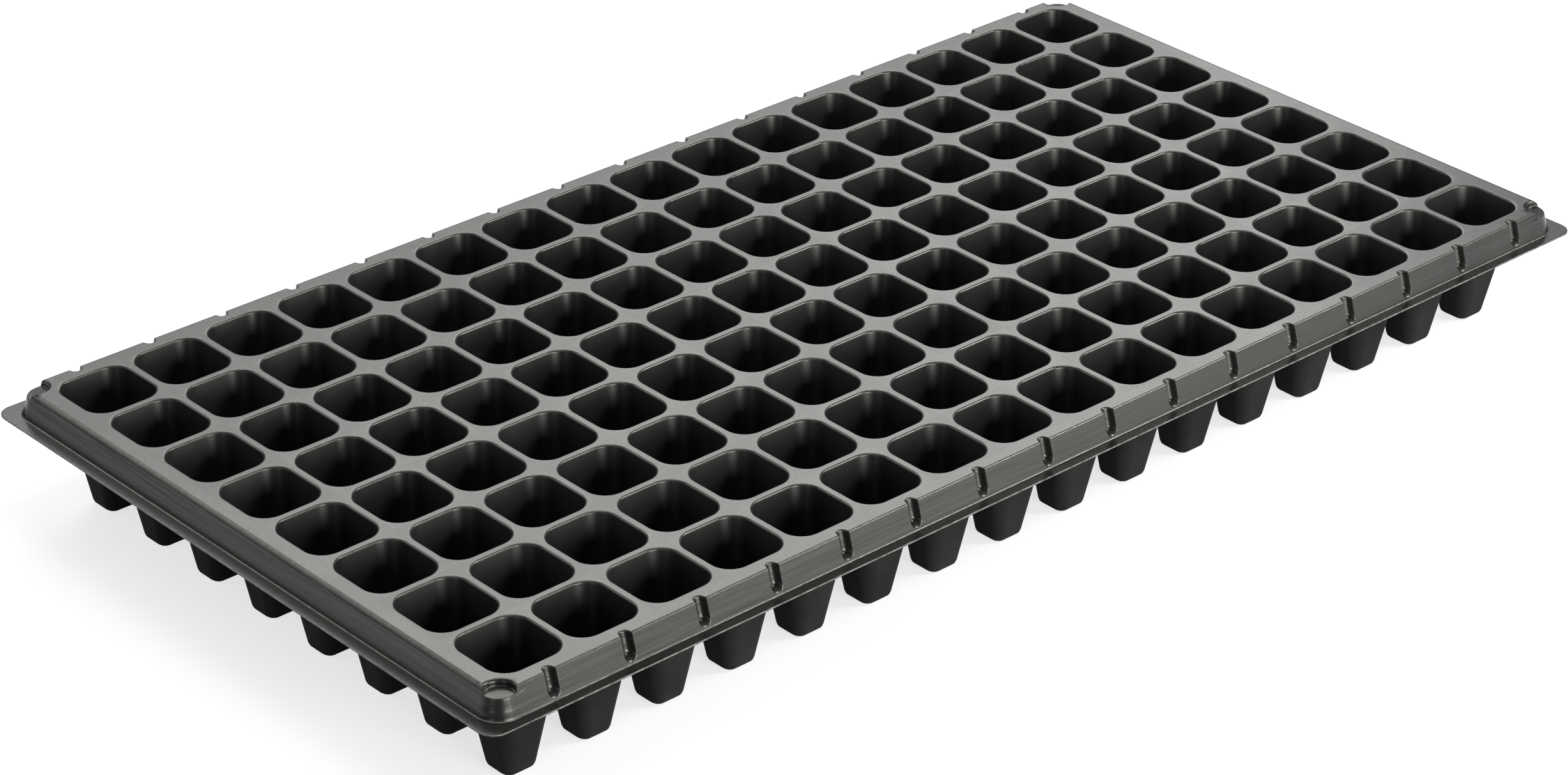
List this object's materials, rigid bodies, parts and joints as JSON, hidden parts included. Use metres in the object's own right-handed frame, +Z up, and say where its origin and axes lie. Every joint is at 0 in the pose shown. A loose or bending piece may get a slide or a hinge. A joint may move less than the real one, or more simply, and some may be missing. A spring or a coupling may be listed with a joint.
{
  "type": "seed tray",
  "caption": "Flat rectangular plug tray: a grid of tapered square cells with rolled lips and drain holes, inside a grooved skirt and a flat brim.",
  "frame": {"origin": "middle of the plane that the cell floors stand on", "axes": "+X along the long side, +Y across the tray, +Z up out of the cells"},
  "size_m": [0.54, 0.28, 0.0465],
  "materials": {
    "cell_sheet": "satin black formed sheet",
    "rim_sheet": "satin black formed sheet"
  },
  "bodies": {
    "root": {"cell_row_01": "cell_sheet", "cell_row_02": "cell_sheet", "cell_row_03": "cell_sheet", "cell_row_04": "cell_sheet", "cell_row_05": "cell_sheet", "cell_row_06": "cell_sheet", "cell_row_07": "cell_sheet", "cell_row_08": "cell_sheet", "cell_row_09": "cell_sheet", "cell_row_10": "cell_sheet", "cell_row_11": "cell_sheet", "cell_row_12": "cell_sheet", "cell_row_13": "cell_sheet", "cell_row_14": "cell_sheet", "cell_row_15": "cell_sheet", "cell_row_16": "cell_sheet", "skirt_front": "rim_sheet", "skirt_back": "rim_sheet", "skirt_left": "rim_sheet", "skirt_right": "rim_sheet", "corner_front_left": "rim_sheet", "corner_front_right": "rim_sheet", "corner_back_left": "rim_sheet", "corner_back_right": "rim_sheet", "brim_front": "rim_sheet", "brim_back": "rim_sheet", "brim_left": "rim_sheet", "brim_right": "rim_sheet"}
  },
  "joints": []
}
